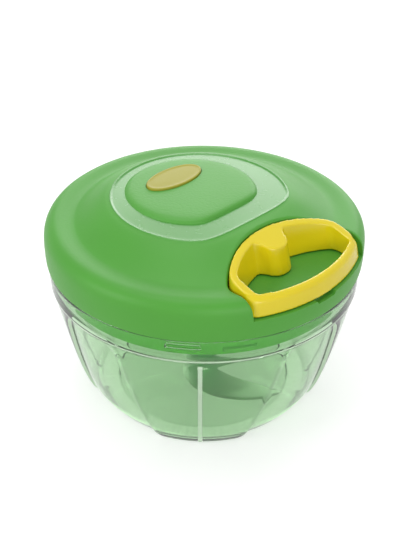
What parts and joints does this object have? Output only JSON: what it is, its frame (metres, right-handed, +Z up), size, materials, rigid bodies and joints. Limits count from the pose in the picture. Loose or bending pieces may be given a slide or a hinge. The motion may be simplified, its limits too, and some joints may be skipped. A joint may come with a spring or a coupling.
{
  "type": "pull cord food chopper",
  "caption": "Hand food chopper: clear tapered bowl with arched panels, loose swept blades, bayonet lid with a sprung cord reel and a yellow pull loop.",
  "frame": {"origin": "centre of the bowl's foot, on the surface that it stands on", "axes": "+Z up along the blade and reel axis; the front of the picture is -Y; the handle pulls out level between +X and -Y, 45 degrees from each"},
  "size_m": [0.1308, 0.1308, 0.0918],
  "materials": {
    "lid_green": "fine satin grain",
    "base_green": "moulded",
    "clear_green": "clear, lightly tinted green",
    "handle_yellow": "moulded",
    "pale_yellow": "moulded, bare",
    "stem_green": "moulded",
    "blade_steel": "fine ground",
    "spring_steel": "blued strip",
    "screw_steel": "zinc plated",
    "bush_brass": "turned",
    "reel_white": "moulded",
    "grey_acetal": "moulded",
    "silicone": "soft, matt",
    "cord_white": "braided"
  },
  "bodies": {
    "bowl": {"bowl": "clear_green", "bowl_pin": "blade_steel"},
    "seal": {"lid_seal": "silicone"},
    "lid": {"lid_shell": "lid_green", "oval_insert": "pale_yellow", "lid_base": "base_green", "base_screw_1": "screw_steel", "base_screw_2": "screw_steel", "base_screw_3": "screw_steel", "output_bush": "bush_brass", "cord_guide": "bush_brass", "reel_axle": "blade_steel", "spring_arbor": "grey_acetal", "recoil_spring": "spring_steel"},
    "reel": {"reel": "reel_white", "spring_cover": "grey_acetal", "cord_winding": "cord_white", "drive_coupler": "grey_acetal", "coupler_screw": "screw_steel"},
    "handle": {"handle": "handle_yellow", "cord_knot": "cord_white", "pull_cord": "cord_white"},
    "blades": {"blade_stem": "stem_green", "pivot_bush": "bush_brass", "blade_lower": "blade_steel", "blade_middle": "blade_steel", "blade_upper": "blade_steel"}
  },
  "joints": [
    {"name": "lid_lift", "type": "slide", "parent": "bowl", "child": "seal", "axis": [0, 0, 1], "range_m": [0, 0.1]},
    {"name": "lid_turn", "type": "hinge", "parent": "seal", "child": "lid", "pos_m": [0, 0, 0.065], "axis": [0, 0, 1], "range_deg": [-20, 0]},
    {"name": "handle_pull", "type": "slide", "parent": "lid", "child": "handle", "axis": [0.7071, -0.7071, 0], "range_m": [0, 0.42], "stiffness_N_per_m": 12, "springref_m": -0.1, "deforming": ["pull_cord"]},
    {"name": "reel_spin", "type": "hinge", "parent": "lid", "child": "reel", "pos_m": [0, 0, 0.07], "axis": [0, 0, 1], "range_deg": [0, 1189]},
    {"name": "blade_spin", "type": "hinge", "parent": "bowl", "child": "blades", "pos_m": [0, 0, 0.0064], "axis": [0, 0, 1], "range_deg": [0, 1189]}
  ],
  "couplings": [
    {"joint": "reel_spin", "follows": "handle_pull", "rad_per_m": 49.383},
    {"joint": "blade_spin", "follows": "handle_pull", "rad_per_m": 49.383}
  ]
}
